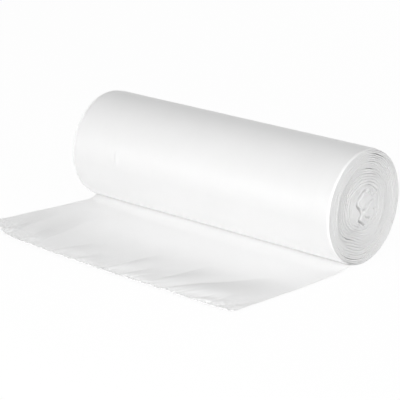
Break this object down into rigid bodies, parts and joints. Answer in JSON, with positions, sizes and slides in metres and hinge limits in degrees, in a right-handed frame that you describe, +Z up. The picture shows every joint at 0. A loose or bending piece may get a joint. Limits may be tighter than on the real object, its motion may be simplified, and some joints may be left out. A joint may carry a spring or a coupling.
{
  "type": "bin bag roll",
  "caption": "Roll of thin white film bags wound without a tube, with the leading bag lying open in front of the roll and its perforated edge curling up.",
  "frame": {"origin": "on the surface that the roll lies on, under the roll's axis and at the middle of its length", "axes": "+X along the roll's axis, -Y the way the leading bag runs out, +Z up"},
  "size_m": [0.3, 0.2257, 0.103],
  "materials": {
    "film": "satin"
  },
  "bodies": {
    "root": {"bag_roll": "film"}
  },
  "joints": []
}
